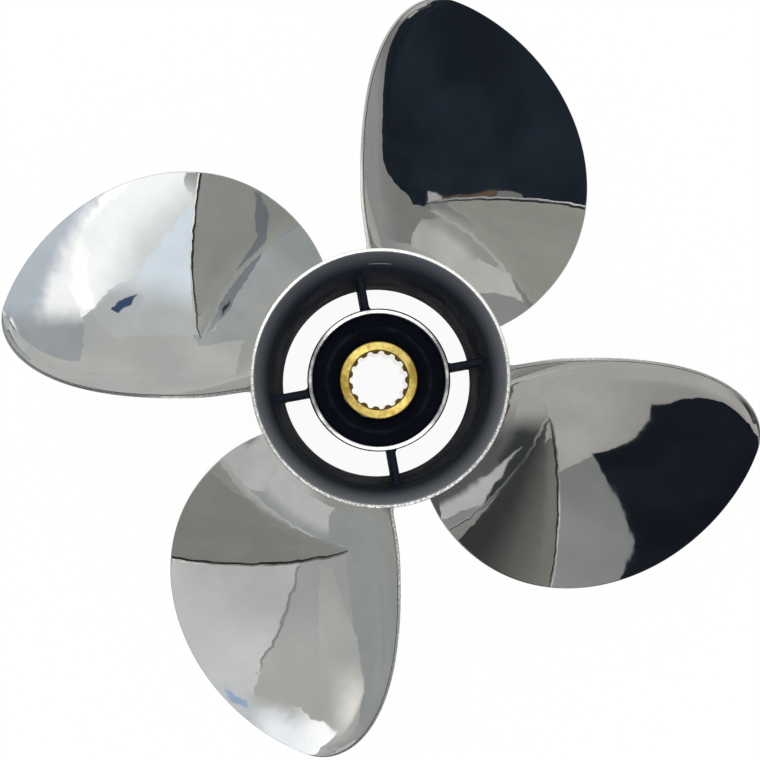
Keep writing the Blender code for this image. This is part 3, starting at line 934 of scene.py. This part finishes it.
def make_top_cards():
    """What the blade at the top mirrors."""
    card("flag_top", 0, NAVY,
         ((-86, 58), (-86, 32), (-63, 27), (-60, 28.4), (-46, 21.8), (-40.5, 18.8), (-39, 17.9),
          (-33.4, 17.8), (-33, 14), (-28.4, 13.2), (-27, 15), (-23.6, 16.8), (-21.6, 18.8),
          (-20.6, 22.5), (-20.2, 58)),
         uneven=0.25)
    card("flag_tip", 0, NAVY,
         ((-49, 13.4), (-38.6, 13.4), (-38.6, 17), (-42, 18.4), (-46, 20.1), (-49, 21.2)))
    card("strip_grey", 2, (0.20, 0.20, 0.20), ((-64, 30), (-50, 24.5), (-50, 22), (-64, 26)))
    card("strip_brown", 1, (0.13, 0.09, 0.065), ((-54, 26.5), (-38, 18.6), (-38, 17), (-54, 23.5)))
    card("low_top", 1, (0.58, 0.585, 0.545),
         ((-64, 2), (-61, 0), (-27.5, 0), (-27.8, 4.5), (-29.5, 7), (-31.5, 9.8), (-34.5, 10.8),
          (-37.5, 12.6), (-39.5, 13.2), (-45, 13.4), (-64, 13.4)),
         ("round", -46, -33, (0.50, 0.505, 0.475)), ("up", 7, 11.5, (0.36, 0.365, 0.35)))
    card("low_corner", 0, (0.58, 0.585, 0.545),
         ((-80, 14.4), (-70, 7.8), (-61, 0), (-56, 0), (-56, 9.5), (-64, 12), (-70, 14.4)))
    card("wedge_top", 2, (0.32, 0.32, 0.315), ((-92, 0), (-92, 15), (-78, 15), (-60, 0)))
    card("side_top", 2, (0.245, 0.245, 0.235),
         ((-40, 0), (-40, 13.3), (-34, 13.3), (-26, 50), (0, 50), (0, 0)),
         ("round", -24, -14, (0.33, 0.34, 0.335)))


def make_left_cards():
    """What the blade on the left mirrors."""
    card("softbox", 1, (0.86, 0.89, 0.90),
         ((6, 29.5), (6, 42), (30, 42.5), (42, 41), (52, 35), (49, 33.8), (45.5, 32.8), (42, 30),
          (33, 29.5)),
         ("up", 29.5, 36, (1.26, 1.29, 1.31)))
    card("streak", 0, (1.45, 1.45, 1.45),
         ((20, 39.5), (36, 41), (43, 39.5), (50, 35), (49, 34), (42, 36.5), (36, 39), (22, 38)))
    card("spot_left", 0, (0.05, 0.085, 0.17),
         ((46, 28.8), (48.8, 29.2), (50.8, 30.6), (50, 32), (47.5, 30.6)))
    card("panel_left", 2, (0.86, 0.96, 1.06), ((4, 10), (4, 33), (50, 34), (56, 30), (56, 10)),
         ("round", 38, 51, (0.57, 0.595, 0.59)))
    card("smear_left", 1, (0.80, 0.83, 0.86),
         ((42.5, 28.6), (47, 27.5), (53, 28), (54, 32), (50, 33.4), (46, 32.9)),
         ("round", 43, 47.5, (0.55, 0.575, 0.58)))
    card("shade_left", -1, (1.2, 1.22, 1.24),
         ((8, 58), (8, 38.8), (40, 38.8), (45, 38), (49, 36.3), (52.5, 34.6), (58, 34.4), (64, 34.4),
          (70, 58)),
         ("up", 39.3, 41.2, (0.60, 0.66, 0.74)), ("round", 49, 54, (0.41, 0.44, 0.46)))
    card("corner_left", 0, (0.40, 0.40, 0.39), ((6, 25), (6, 38), (15, 35.2), (19, 33), (22, 29)),
         ("round", 15, 21.5, (0.82, 0.85, 0.87)))
    card("side_left", 3, (0.55, 0.56, 0.545), ((48, 10), (48, 40), (88, 40), (88, 0), (57, 0)))
    card("low_left", 1, (0.225, 0.248, 0.277),
         ((21, 13.6), (26, 12), (30, 10.8), (34, 10.2), (38, 9.6), (42, 9.2), (47, 9), (54, 11),
          (58, 13.6)),
         ("round", 45, 52, (0.34, 0.36, 0.365)))
    card("speck_left", 0, (0.03, 0.03, 0.035), ((43, 10.3), (46, 9.9), (49.5, 10.3), (46, 10.9)))
    card("low_side", 2, (0.37, 0.40, 0.405),
         ((0, 0), (0, 15), (42, 15), (56, 15.5), (60, 13), (57.5, 0)),
         ("round", 14, 25, (0.43, 0.465, 0.465)))


def make_bottom_cards():
    """What the blade at the bottom mirrors."""
    card("panel_bottom", 1, (0.565, 0.575, 0.565),
         ((90, 13), (90, 44), (126.4, 44), (128, 37), (131, 30), (133.2, 20), (134, 13)),
         ("up", 27, 39, (0.73, 0.74, 0.735)))
    card("seam_bottom", 0, (0.28, 0.29, 0.31),
         ((127, 39), (128, 37), (131, 30), (133.2, 20), (133.9, 20), (131.8, 30), (128.4, 37)))
    card("blue_bottom", -1, (0.39, 0.51, 0.705),
         ((122, 41.8), (124.5, 42.6), (127, 42.8), (126.5, 42.1), (123.5, 41.6)))
    card("shade_bottom", 2, (0.41, 0.415, 0.412), ((124, 44), (130, 11), (148, 11), (147, 44)),
         ("up", 20, 40, (0.52, 0.525, 0.505)))
    card("glow_bottom", 1, (0.52, 0.525, 0.505),
         ((139.5, 18), (143.5, 18), (148, 30), (147.6, 48), (139.5, 48)),
         ("round", 140, 146, (1.3, 1.27, 1.2)), ("up", 44, 33, (0.52, 0.525, 0.505)),
         ("up", 30, 20, (0.45, 0.455, 0.44)))
    card("sky_bottom", 0, (0.62, 0.645, 0.68),
         ((104, 58), (110, 41.6), (121, 41), (134, 40.4), (140, 42), (148, 44), (152, 58)),
         ("round", 126, 132, (1.1, 1.15, 1.2)), ("up", 43.5, 40.5, (0.53, 0.535, 0.52)),
         ("round", 128.5, 125, (0.70, 0.72, 0.745)), ("round", 134, 139, (1.35, 1.36, 1.38)))
    card("low_corner_bottom", 1, (0.20, 0.20, 0.20),
         ((88, 0), (88, 14.4), (105, 14.4), (114, 9), (114, 0)),
         ("round", 95.5, 99.5, (0.57, 0.575, 0.57)), ("up", 3, 8, (0.57, 0.575, 0.57)))
    card("low_bottom", 2, (0.60, 0.60, 0.595),
         ((105, 0), (105, 13.8), (140, 13), (142, 9), (141.5, 4), (144, 0)),
         ("up", 6.5, 10.8, (0.385, 0.41, 0.41)))
    card("side_bottom", 3, (0.365, 0.39, 0.388),
         ((139, 0), (139, 14), (147, 14), (147, 36), (184, 36), (184, 0)))


def make_floor_cards():
    """Shades on the floor, round the object and partly under it."""
    near, far = FLOOR_NEAR, FLOOR_FAR
    floor_card("floor_front", 0, (0.06, 0.062, 0.065),
               ((-far, -0.74 * far), (-far, -far), (far / 2, -far), (near / 2, -near), (-0.2, -near)),
               ("round", -123, -74, (0.31, 0.305, 0.285)))
    floor_card("floor_left", 1, (0.37, 0.37, 0.355),
               ((-far, -far), (-near, -near), (-near, near), (-far, far)))
    floor_card("floor_back", 1, (0.445, 0.455, 0.435),
               ((-far, far), (-near, near), (near, near), (far, far)))
    floor_card("floor_right", 1, (0.46, 0.46, 0.425),
               ((far / 2, -far), (far, -far), (far, far), (near, near), (near, -near),
                (near / 2, -near)))
    band = ((1.3, 42), (1.25, 48.2), (0.7, 48.8), (0.51, 49.7), (0.41, 50.6), (0.285, 60.7),
            (0.235, 70), (0.245, 65), (0.27, 58), (0.305, 52.9), (0.375, 47.7), (0.61, 40.3),
            (1.2, 36.5))
    floor_card("floor_band", -1, (0.25, 0.28, 0.305), [on_floor(reach, turn) for reach, turn in band])
    floor_sector("ring_front", (0.56, 0.55, 0.52), -104, -74, ("round", -104, -92, (0.46, 0.455, 0.435)))
    floor_sector("ring_right", (0.44, 0.44, 0.41), -30, 10, ("round", -30, -16, (0.33, 0.335, 0.33)))
    floor_sector("ring_back", (0.445, 0.455, 0.435), 66, 140,
                 ("round", 66, 84, (0.57, 0.58, 0.565)), ("round", 128, 140, (0.40, 0.405, 0.39)))


def make_world():
    """Even studio light with a long soft box overhead."""
    low_sky, high_sky, soft_box = (0.46, 0.465, 0.46), (0.56, 0.56, 0.56), (1.9, 1.9, 1.9)
    world = bpy.data.worlds.new("studio")
    bpy.context.scene.world = world
    graph = bare_graph(world)
    across, along, rise = graph.axes(graph.node("ShaderNodeTexCoord").outputs["Generated"])
    light = graph.mix(graph.span(rise, 0.6, 0.85), low_sky, high_sky)
    slant = graph.math("ADD", across, graph.math("MULTIPLY", along, 0.5))
    width = graph.span(graph.math("ABSOLUTE", slant), 0.22, 0.1)
    overhead = graph.math("MULTIPLY", width, graph.span(rise, 0.78, 0.9))
    background = graph.node("ShaderNodeBackground")
    graph.put(background.inputs["Color"], graph.mix(overhead, light, soft_box))
    output = graph.node("ShaderNodeOutputWorld")
    graph.put(output.inputs["Surface"], background.outputs[0])


make_camera()
make_floor()
make_right_cards()
make_top_cards()
make_left_cards()
make_bottom_cards()
make_floor_cards()
make_world()
steel, ground, worn, scale = polished_steel(), ground_steel(), worn_and_shaded_steel(), edge_scale()
paint, rubber, brass = charcoal_paint(), black_rubber(), turned_brass()
make_barrel(steel, paint)
make_ring(steel, paint, ground)
make_hub(worn, paint)
make_bush(rubber)
make_sleeve(brass)
for rib_number in range(RIB_COUNT):
    make_rib(rib_number, paint)
blade_sections = [blade_section(radius) for radius in blade_radii()]
for blade_number in range(BLADE_COUNT):
    make_blade(blade_number, blade_sections, [steel, ground, scale])
bpy.context.scene.view_settings.view_transform = "Standard"
